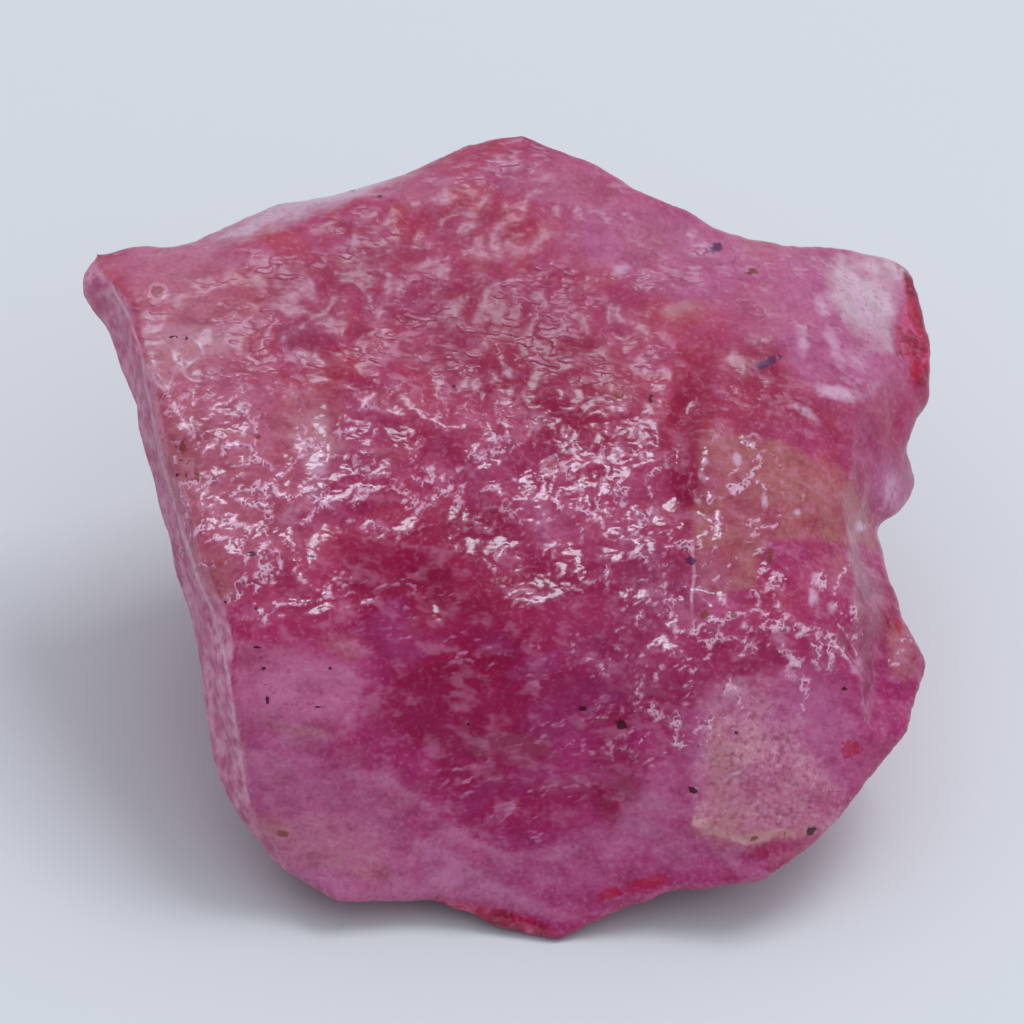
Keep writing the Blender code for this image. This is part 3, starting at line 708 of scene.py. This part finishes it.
class Painter:
    """Paints patches and lines on the stone's points, as the view sees them."""

    def __init__(self, stone):
        self.mesh = stone.data
        count = len(self.mesh.vertices)
        points = np.empty(count * 3)
        normals = np.empty(count * 3, np.float32)
        self.mesh.vertices.foreach_get("co", points)
        self.mesh.vertex_normals.foreach_get("vector", normals)
        self.points = points.reshape(-1, 3)
        away = self.points - np.array(EYE)
        far = -(away @ np.array(VIEW_BACK))
        spread = VIEW_DISTANCE / far / MM
        self.flat = np.stack([away @ np.array(VIEW_RIGHT), away @ np.array(VIEW_UP)], 1) * spread[:, None]
        self.normals = normals.reshape(-1, 3)
        self.facing = smooth_step(self.normals @ np.array(VIEW_BACK), *VIEW_FADE)

    def store(self, name, values):
        layer = self.mesh.attributes.new(name, "FLOAT", "POINT")
        layer.data.foreach_set("value", values.astype(np.float32))

    def patches(self, name, patches, skyward=0.0):
        """How strongly soft oval patches cover each point, from 0 to 1, or more where it faces up."""
        bare = 1 - skyward * smooth_step(self.normals[:, 2], *SKY_FADE)
        for across, up, half_width, half_height, turn, strength in patches:
            angle = math.radians(turn)
            x, y = (self.flat - (across, up)).T
            along = (x * math.cos(angle) + y * math.sin(angle)) / half_width
            above = (y * math.cos(angle) - x * math.sin(angle)) / half_height
            bare *= 1 - strength * np.exp(-(along**2) - above**2)
        self.store(name, np.maximum(1 - bare, 0) * self.facing)

    def to_line(self, places, closed):
        """For each point the distance to a line, its side, and how far it is past the line's ends."""
        ends = np.array(places)
        pairs = list(zip(ends, np.roll(ends, -1, 0))) if closed else list(zip(ends[:-1], ends[1:]))
        nearest = np.full(len(self.flat), np.inf)
        side = np.ones(len(self.flat))
        for start, end in pairs:
            way = end - start
            share = np.clip((self.flat - start) @ way / (way @ way), 0, 1)
            gap = self.flat - start - share[:, None] * way
            distance = np.hypot(*gap.T)
            closer = distance < nearest
            nearest[closer] = distance[closer]
            side[closer] = np.sign(gap[:, 0] * way[1] - gap[:, 1] * way[0])[closer]
        past = np.minimum(*(np.hypot(*(self.flat - end).T) - nearest for end in (ends[0], ends[-1])))
        return nearest, side, past

    def inside(self, corners):
        """Which points lie inside a closed outline."""
        x, y = self.flat.T
        odd = np.zeros(len(x), bool)
        for (x0, y0), (x1, y1) in zip(corners, (*corners[1:], corners[0])):
            if y0 != y1:
                crosses = (y0 > y) != (y1 > y)
                odd ^= crosses & (x < (x1 - x0) * (y - y0) / (y1 - y0) + x0)
        return odd

    def outlines(self, name, outlines):
        """The distance to the nearest outline, in millimetres, which is negative inside it."""
        signed = np.full(len(self.flat), FARTHEST)
        for corners in outlines:
            nearest, _, _ = self.to_line(corners, True)
            signed = np.minimum(signed, np.where(self.inside(corners), -nearest, nearest))
        self.store(name, np.where(self.facing > 0.5, np.clip(signed, -FARTHEST, FARTHEST), FARTHEST))

    def edges(self, name, lines):
        """The signed distance to the nearest of several open lines, and how far along them it counts."""
        signed = np.full(len(self.flat), FARTHEST)
        share = np.zeros(len(self.flat))
        for places in lines:
            nearest, side, past = self.to_line(places, False)
            closer = nearest < np.abs(signed)
            signed[closer] = (nearest * side)[closer]
            share[closer] = smooth_step(past, *EDGE_END_FADE)[closer]
        self.store(name, signed)
        self.store(name + "_share", share * self.facing)

    def veils(self, name, lines):
        """How milky each point is, which fades to the right of each line."""
        bare = np.ones(len(self.flat))
        for fade, places in lines:
            nearest, side, past = self.to_line(places, False)
            signed = nearest * side
            veil = smooth_step(signed, *VEIL_LINE_FADE) * np.exp(-np.abs(signed) / fade)
            bare *= 1 - veil * smooth_step(past, *VEIL_END_FADE)
        self.store(name, (1 - bare) * self.facing)

    def specks(self, sight):
        """Keeps the nearest speck at each point: its place, long and short ways, colour and strengths."""
        rows = [(speck, *looks) for *looks, specks in SPECKS for speck in specks]
        axes = [turned_axes(speck[4]) for speck, *_ in rows]
        kept = {
            "place": [sight.place(*speck[:2]) for speck, *_ in rows],
            "long": [way / (row[0][2] * MM) for (way, _), row in zip(axes, rows)],
            "short": [way / (row[0][3] * MM) for (_, way), row in zip(axes, rows)],
            "tone": [tone(*paint_tone)[:3] for _, paint_tone, _, _ in rows],
            "strengths": [(share, rim, 0) for _, _, share, rim in rows],
        }
        distances = [np.linalg.norm(self.points - np.array(place), axis=1) for place in kept["place"]]
        nearest = np.argmin(distances, axis=0)
        for name, values in kept.items():
            layer = self.mesh.attributes.new(f"speck_{name}", "FLOAT_VECTOR", "POINT")
            layer.data.foreach_set("vector", np.array(values, np.float32)[nearest].ravel())

    def wall(self, name):
        """The cleaved wall, which is all that faces left on the left side."""
        leftward = smooth_step(-self.points[:, 0], *WALL_PLACE_FADE)
        self.store(name, leftward * smooth_step(-self.normals[:, 0], *WALL_FACING_FADE))


def paint_stone(stone):
    painter = Painter(stone)
    painter.specks(Sight(stone))
    for name, patches in PATCHES.items():
        painter.patches(name, patches, ETCHED_SKYWARD if name == "glitter" else 0.0)
    for name, outlines in OUTLINES.items():
        painter.outlines(name, outlines)
    painter.edges("bright_edge", BRIGHT_EDGES)
    painter.veils("veil", VEILS)
    painter.wall("wall")


# ---------------------------------------------------------------- node building


def add_node(tree, kind, inputs=(), **settings):
    """Adds a node. Its inputs are given by name or number, as values or as sockets to link."""
    node = tree.nodes.new(kind)
    for name, value in settings.items():
        setattr(node, name, value)
    for key, value in dict(inputs).items():
        if isinstance(value, bpy.types.NodeSocket):
            tree.links.new(value, node.inputs[key])
        else:
            node.inputs[key].default_value = value
    return node


def math_node(tree, operation, *values):
    return add_node(tree, "ShaderNodeMath", dict(enumerate(values)), operation=operation).outputs[0]


def vector_node(tree, operation, inputs):
    return add_node(tree, "ShaderNodeVectorMath", inputs, operation=operation)


def product(tree, *values):
    total = values[0]
    for value in values[1:]:
        total = math_node(tree, "MULTIPLY", total, value)
    return total


def smooth_range(tree, value, low, high, start=0.0, end=1.0):
    """A soft ramp from start, where the value is low or less, to end, where it is high or more."""
    inputs = {"Value": value, "From Min": low, "From Max": high, "To Min": start, "To Max": end}
    node = add_node(tree, "ShaderNodeMapRange", inputs, interpolation_type="SMOOTHSTEP")
    return node.outputs["Result"]


def blend(tree, share, first, second):
    """A value that goes from the first to the second as the share goes from 0 to 1."""
    step = math_node(tree, "SUBTRACT", second, first)
    return math_node(tree, "MULTIPLY_ADD", share, step, first)


def mix_colour(tree, share, first, second):
    node = tree.nodes.new("ShaderNodeMix")
    node.data_type = "RGBA"
    for socket, value in (("Factor_Float", share), ("A_Color", first), ("B_Color", second)):
        target = next(item for item in node.inputs if item.identifier == socket)
        if isinstance(value, bpy.types.NodeSocket):
            tree.links.new(value, target)
        else:
            target.default_value = value
    return next(item for item in node.outputs if item.identifier == "Result_Color")


def new_sockets(tree, direction, sockets):
    """Adds a tree's inputs or outputs, each a name with its kind of value or its number."""
    for name, value in sockets.items():
        kind = value if isinstance(value, str) else "Float"
        socket = tree.interface.new_socket(name=name, in_out=direction, socket_type=f"NodeSocket{kind}")
        if kind == "Float":
            socket.default_value = value


def stretched(tree, vector, share, way):
    """The coordinates, squeezed to that share along one direction, so that marks run along it."""
    way = Vector(way).normalized()
    along = vector_node(tree, "DOT_PRODUCT", {0: vector, 1: way}).outputs["Value"]
    back = vector_node(tree, "SCALE", {0: way * (share - 1), "Scale": along}).outputs[0]
    return vector_node(tree, "ADD", {0: vector, 1: back}).outputs[0]


def pattern(tree, vector, noise, squeeze, fade):
    """A noise with its marks along a direction, as it is or faded in between two values."""
    if squeeze:
        vector = stretched(tree, vector, *squeeze)
    names = ("Scale", "Detail", "Roughness", "Distortion")
    node = add_node(tree, "ShaderNodeTexNoise", {"Vector": vector, **dict(zip(names, noise))})
    value = node.outputs["Fac"]
    return smooth_range(tree, value, *fade) if fade else value


def farness(tree, vector):
    """How far back on the stone a place is, from 0 to 1."""
    depth = add_node(tree, "ShaderNodeSeparateXYZ", {0: vector}).outputs["Y"]
    return smooth_range(tree, depth, *FAR_FADE)


# ---------------------------------------------------------------- etched relief


def etching_tree():
    """A tree that etches the skin: hillocks, grains and a lace of raised bands in the etched fields.
    It also keeps the broad patterns that the material draws with."""
    tree = bpy.data.node_groups.new("etched skin", "GeometryNodeTree")
    new_sockets(tree, "INPUT", {"Geometry": "Geometry", **ETCHING, "Material": "Material"})
    new_sockets(tree, "OUTPUT", {"Geometry": "Geometry"})
    given = tree.nodes.new("NodeGroupInput").outputs
    position = tree.nodes.new("GeometryNodeInputPosition").outputs[0]
    glitter = add_node(tree, "GeometryNodeInputNamedAttribute", {"Name": "glitter"}, data_type="FLOAT")
    glitter = glitter.outputs["Attribute"]

    def noise(kind, detail, roughness, distortion):
        inputs = {
            "Vector": position,
            "W": given["Seed"],
            "Scale": math_node(tree, "DIVIDE", 1.0, given[f"{kind} Size"]),
            "Detail": detail,
            "Roughness": roughness,
            "Distortion": distortion,
        }
        texture = add_node(tree, "ShaderNodeTexNoise", inputs, noise_dimensions="4D")
        return math_node(tree, "SUBTRACT", texture.outputs["Fac"], NOISE_MIDDLE)

    height = 0.0
    for kind in ("Grain", "Hillock", "Swell"):
        bumps = product(tree, noise(kind, *ETCHING_NOISE), given[f"{kind} Height"])
        height = math_node(tree, "ADD", bumps, height)
    height = product(tree, height, math_node(tree, "MAXIMUM", glitter, given["Plain Share"]))
    level = math_node(tree, "ABSOLUTE", noise("Lace", *LACE_NOISE))
    width = math_node(tree, "MAXIMUM", product(tree, given["Lace Width"], glitter), THINNEST_LACE)
    lace = smooth_range(tree, level, width, product(tree, width, LACE_TOP))
    lace = product(tree, lace, smooth_range(tree, glitter, *LACE_FADE))
    lace = product(tree, lace, blend(tree, farness(tree, position), 1.0, given["Far Lace Share"]))
    height = math_node(tree, "MULTIPLY_ADD", lace, given["Lace Height"], height)
    normal = tree.nodes.new("GeometryNodeInputNormal").outputs[0]
    along = vector_node(tree, "SCALE", {0: normal, "Scale": height}).outputs[0]
    kept = {"relief": product(tree, height, 1 / MM), "lace": lace}
    for name, looks in BROAD_PATTERNS.items():
        kept[name] = pattern(tree, position, *looks)
    geometry = given["Geometry"]
    for name, value in kept.items():
        inputs = {"Geometry": geometry, "Name": name, "Value": value}
        geometry = add_node(tree, "GeometryNodeStoreNamedAttribute", inputs, data_type="FLOAT").outputs[0]
    for kind, inputs in (
        ("GeometryNodeSetPosition", {"Offset": along}),
        ("GeometryNodeRealizeInstances", {}),
        ("GeometryNodeSetMaterial", {"Material": given["Material"]}),
    ):
        geometry = add_node(tree, kind, {"Geometry": geometry, **inputs}).outputs[0]
    tree.links.new(geometry, tree.nodes.new("NodeGroupOutput").inputs["Geometry"])
    return tree


def etch(stone, material):
    """Runs the etching tree on the stone and keeps the result as its mesh."""
    modifier = stone.modifiers.new("etching", "NODES")
    modifier.node_group = etching_tree()
    for item in modifier.node_group.interface.items_tree:
        if item.in_out == "INPUT" and item.name == "Material":
            modifier[item.identifier] = material
    bake_modifiers(stone)


# ---------------------------------------------------------------- material


def ragged_group():
    """Turns a soft painted value into a mask with a ragged, natural edge."""
    tree = bpy.data.node_groups.new("ragged edge", "ShaderNodeTree")
    inputs = {"Painted": 0.0, "Grain": 0.5, "Raggedness": 0.6, "Low": 0.3, "High": 0.8}
    new_sockets(tree, "INPUT", inputs)
    new_sockets(tree, "OUTPUT", {"Mask": 0.0})
    given = tree.nodes.new("NodeGroupInput").outputs
    shift = math_node(tree, "SUBTRACT", given["Grain"], NOISE_MIDDLE)
    edge = math_node(tree, "MULTIPLY_ADD", shift, given["Raggedness"], given["Painted"])
    out = tree.nodes.new("NodeGroupOutput")
    tree.links.new(smooth_range(tree, edge, given["Low"], given["High"]), out.inputs["Mask"])
    return tree


def speck_group():
    """A small oval mark at a given place, with a slightly uneven edge, and the rim around it where a
    highlight is painted.
    """
    tree = bpy.data.node_groups.new("speck", "ShaderNodeTree")
    ways = ("Long Way", "Short Way", "Depth Way")
    new_sockets(tree, "INPUT", {"Uneven": 0.0, **dict.fromkeys(("Vector", "Place", *ways), "Vector")})
    new_sockets(tree, "OUTPUT", {"Mask": 0.0, "Rim": 0.0})
    given = tree.nodes.new("NodeGroupInput").outputs
    away = vector_node(tree, "SUBTRACT", {0: given["Vector"], 1: given["Place"]}).outputs[0]
    parts = [vector_node(tree, "DOT_PRODUCT", {0: away, 1: given[way]}).outputs["Value"] for way in ways]
    joined = add_node(tree, "ShaderNodeCombineXYZ", dict(enumerate(parts))).outputs[0]
    far = vector_node(tree, "LENGTH", {0: joined}).outputs["Value"]
    far = math_node(tree, "ADD", far, given["Uneven"])
    rim = product(tree, *(smooth_range(tree, far, *fade) for fade in RIM_FADES))
    out = tree.nodes.new("NodeGroupOutput")
    tree.links.new(smooth_range(tree, far, *SPECK_FADE), out.inputs["Mask"])
    tree.links.new(rim, out.inputs["Rim"])
    return tree


class Skin:
    """The stone's material, with its colour built up layer over layer."""

    def __init__(self):
        self.material = bpy.data.materials.new("pink_sapphire")
        self.material.use_nodes = True
        self.tree = self.material.node_tree
        self.place = self.tree.nodes.new("ShaderNodeTexCoord").outputs["Object"]
        self.ragged = ragged_group()
        self.coarse = self.painted("coarse")
        self.crisp = self.fine("crisp")
        self.mottle = self.fine("mottle")
        self.tiny = self.fine("tiny")
        self.far = farness(self.tree, self.place)
        self.colour = None

    def fine(self, name):
        return pattern(self.tree, self.place, *FINE_PATTERNS[name])

    def painted(self, name, output="Fac"):
        return add_node(self.tree, "ShaderNodeAttribute", attribute_name=name).outputs[output]

    def maths(self, operation, *values):
        return math_node(self.tree, operation, *values)

    def ramp(self, value, *fade):
        return smooth_range(self.tree, value, *fade)

    def product(self, *values):
        return product(self.tree, *values)

    def blend(self, share, first, second):
        return blend(self.tree, share, first, second)

    def mask(self, name, grain, raggedness, low, high):
        """A mask from a painted attribute, with an edge as ragged as that grain makes it."""
        inputs = {
            "Painted": self.painted(name),
            "Grain": getattr(self, grain),
            "Raggedness": raggedness,
            "Low": low,
            "High": high,
        }
        return add_node(self.tree, "ShaderNodeGroup", inputs, node_tree=self.ragged).outputs["Mask"]

    def patch(self, name):
        return self.mask(name, *PATCH_EDGES[name])

    def outlined(self, name):
        grain, raggedness, softness = OUTLINE_EDGES[name]
        return self.mask(name, grain, raggedness, softness, -softness)

    def lay(self, name, mask, *within):
        """Lays a layer's colour over what is there, where its mask or pattern shows within others."""
        paint_tone, share, *fade = LAYERS[name]
        if fade:
            mask = self.ramp(mask, *fade)
        mask = self.product(mask, *within)
        if share < 1.0:
            mask = self.product(mask, share)
        self.colour = mix_colour(self.tree, mask, self.colour, tone(*paint_tone))

    def body(self):
        """The cloudy body: rose above and magenta below, in blotches with crisp and soft edges."""
        height = add_node(self.tree, "ShaderNodeSeparateXYZ", {0: self.place}).outputs["Z"]
        upper = self.ramp(height, *UPPER_RISE)
        self.colour = mix_colour(self.tree, upper, tone(*LOWER_TONE), tone(*UPPER_TONE))
        self.lay("magenta blotches", self.painted("blotches"))
        self.lay("pink grains", self.coarse)
        self.lay("rose patches", self.painted("patchy"))
        self.lay("warm streaks", self.painted("streaky"), upper)
        # milky lavender, partly painted fill light on the lower front and painted sheen on the lobe
        self.lay("haze_and_painted_light", self.patch("haze_and_painted_light"))
        # the cleaved wall, its pale tones partly painted light
        streaks = mix_colour(self.tree, self.painted("wall_streaks"), *(tone(*side) for side in WALL_TONES))
        wall = self.product(self.painted("wall"), WALL_SHARE)
        self.colour = mix_colour(self.tree, wall, self.colour, streaks)

    def depths(self):
        """The etched fields, with their painted sheen and painted shade in their pits, and the clear red
        places with their cloudy zones.
        """
        self.uneven = self.painted("uneven")
        self.glitter = self.patch("glitter")
        # painted sheen: a lavender reflection over the etched fields
        self.lay("etched field sheen", self.glitter, self.uneven)
        # painted shade in the low places of the etched relief
        self.lay("etched pit shade", self.painted("relief"), self.glitter)
        self.lay("blush", self.patch("blush"))
        self.lay("beige", self.patch("beige"))
        self.deep = self.patch("depth")
        self.lay("depth", self.deep)
        self.red_hollow = self.outlined("red_hollow")
        self.lay("red_hollow", self.red_hollow)
        zones = self.painted("zones")
        self.lay("cloudy zones", zones, self.red_hollow)
        # purple, partly painted fill light where the hollow faces down
        self.lay("plum", self.patch("plum"))
        self.lay("dull_purple", self.painted("dull_purple"))
        self.lay("clear zones", zones, self.red_hollow)

    def facets(self):
        """The facets, veils, slabs and pale places, with painted highlights, painted glints in the clear
        red and a painted reflection on the lobe's cap.
        """
        self.lay("lavender_facet", self.outlined("lavender_facet"))
        self.lay("lilac_band", self.outlined("lilac_band"))
        self.lay("veil", self.painted("veil"), self.uneven)
        self.lay("back_bevel", self.outlined("back_bevel"))
        self.lay("tan_slab", self.outlined("tan_slab"), self.uneven)
        chip = self.product(self.outlined("chip_slab"), self.uneven)
        self.lay("chip_slab", chip)
        self.lay("chip beige", self.coarse, chip)
        self.lay("chip dark grains", self.tiny, chip)
        self.lay("chip light grains", self.tiny, chip)
        self.lay("cream_edge", self.outlined("cream_edge"), self.uneven)
        self.lay("stain", self.patch("stain"), self.ramp(self.painted("stain"), *STAIN_FADE))
        self.lay("lip", self.outlined("lip"))
        self.lay("flute", self.outlined("flute"))
        # the lobe's pale cap with a painted reflection of the light
        self.lay("lobe_cap_reflection", self.outlined("lobe_cap_reflection"), self.uneven)
        clear = self.outlined("clear_red")
        self.lay("clear_red", clear)
        # painted broken glints in the clear red
        self.lay("clear red glints", self.crisp, clear)
        self.lay("clear dark places", self.crisp, clear)
        # painted highlights: small glints and whitish reflections of the light
        self.lay("highlights", self.patch("highlights"))
        calm = self.blend(self.far, 1.0, FAR_MOTTLE)
        self.lay("light mottle", self.mottle, calm)
        self.lay("dark mottle", self.mottle, calm)

    def lace(self):
        """Painted sheen over the lace, painted glints on its lumps and curls with painted shade in the gaps
        between them, painted glints in short rows in the red hollow, and soft painted glints far back.
        """
        lumps = self.fine("lumps")
        lace = self.painted("lace")
        shift = self.maths("SUBTRACT", lumps, NOISE_MIDDLE)
        ragged = self.maths("MULTIPLY_ADD", shift, LACE_RAGGEDNESS, lace)
        self.raised = self.product(lace, self.ramp(ragged, *LACE_EDGE_FADE))
        sunk = self.blend(self.deep, 1.0, DEEP_LACE)
        lace = self.product(self.raised, sunk, self.blend(self.red_hollow, 1.0, HOLLOW_LACE))
        curls = self.maths("ABSOLUTE", self.maths("SUBTRACT", self.fine("curls"), NOISE_MIDDLE))
        crests = self.maths("MAXIMUM", self.ramp(curls, *CURL_FADE), self.ramp(lumps, *LUMP_FADE))
        between = self.product(self.maths("SUBTRACT", 1.0, lace), self.glitter)
        self.lay("between lace", between)
        # the lace's lighter tint, painted sheen
        self.lay("lace", lace)
        # painted shade in the gaps and painted glints on the crests
        self.lay("lace gap shade", crests, lace)
        self.lay("lace glints", crests, lace)
        # painted glints in short rows in the red hollow
        self.lay("hollow glint rows", self.fine("streaks"), self.painted("rows"), self.red_hollow)
        # soft glossy bumps far back, painted with glints
        etched = self.ramp(self.painted("glitter"), *BLOB_FADE)
        self.glint_blobs = self.product(self.fine("glint_blobs"), self.painted("tufts"), self.far, etched)
        self.lay("glint_blobs", self.glint_blobs)

    def marks(self):
        """Bright edges that catch the light, fine grain with painted tiny highlights, specks and spots, and
        a painted highlight on the crater rims.
        """
        edge = self.ramp(self.maths("ABSOLUTE", self.painted("bright_edge")), *BRIGHT_EDGE_FADE)
        broken = self.ramp(self.crisp, *BRIGHT_EDGE_BREAKS)
        self.lay("bright edges", edge, self.painted("bright_edge_share"), broken)
        # painted tiny highlights, fewer in the red hollow
        self.lay("fine highlights", self.tiny, self.blend(self.red_hollow, 1.0, HOLLOW_FINE_HIGHLIGHTS))
        self.lay("dark grain", self.tiny)
        inputs = {
            "Vector": self.place,
            "Uneven": self.maths("MULTIPLY_ADD", self.tiny, SPECK_UNEVENNESS, -SPECK_UNEVENNESS / 2),
            "Place": self.painted("speck_place", "Vector"),
            "Long Way": self.painted("speck_long", "Vector"),
            "Short Way": self.painted("speck_short", "Vector"),
            "Depth Way": VIEW_BACK / SPECK_DEPTH,
        }
        speck = add_node(self.tree, "ShaderNodeGroup", inputs, node_tree=speck_group()).outputs
        strengths = self.painted("speck_strengths", "Vector")
        strengths = add_node(self.tree, "ShaderNodeSeparateXYZ", {0: strengths}).outputs
        # painted highlight on the crater rims
        self.lay("crater rim highlights", speck["Rim"], strengths["Y"])
        share = self.product(speck["Mask"], strengths["X"])
        self.colour = mix_colour(self.tree, share, self.colour, self.painted("speck_tone", "Vector"))

    def surface(self):
        """The relief too small for the mesh, the gloss and the glow from inside."""
        tree = self.tree
        bumps = self.product(self.mottle, self.blend(self.painted("glitter"), PLAIN_BUMP, ETCHED_BUMP))
        bumps = self.maths("MULTIPLY_ADD", self.glint_blobs, BLOB_BUMP, bumps)
        bumps = self.product(bumps, self.blend(self.far, 1.0, FAR_BUMP))
        bump = add_node(tree, "ShaderNodeBump", {"Height": bumps, "Strength": 1.0, "Distance": BUMP_DEPTH})
        dull = self.blend(self.far, NEAR_ROUGHNESS, FAR_ROUGHNESS)
        dull = self.maths("MAXIMUM", dull, self.product(self.raised, LACE_ROUGHNESS))
        dull = self.maths("MAXIMUM", dull, self.product(self.painted("wall"), WALL_ROUGHNESS))
        shader = tree.nodes["Principled BSDF"]
        shader.subsurface_method = "BURLEY"
        tree.links.new(self.colour, shader.inputs["Base Color"])
        tree.links.new(bump.outputs["Normal"], shader.inputs["Normal"])
        tree.links.new(dull, shader.inputs["Roughness"])
        shader.inputs["IOR"].default_value = REFRACTION
        shader.inputs["Subsurface Weight"].default_value = GLOW_SHARE
        shader.inputs["Subsurface Radius"].default_value = GLOW_RADIUS
        shader.inputs["Subsurface Scale"].default_value = GLOW_SCALE


def stone_material():
    skin = Skin()
    for step in (skin.body, skin.depths, skin.facets, skin.lace, skin.marks, skin.surface):
        step()
    return skin.material


def build_stone():
    stone = refined_copy(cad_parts["crystal"])
    paint_stone(stone)
    etch(stone, stone_material())
    for face in stone.data.polygons:
        face.use_smooth = True
    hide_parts("crystal")
    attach(stone, "root")
    return stone


make_camera()
make_studio(build_stone(), make_table())
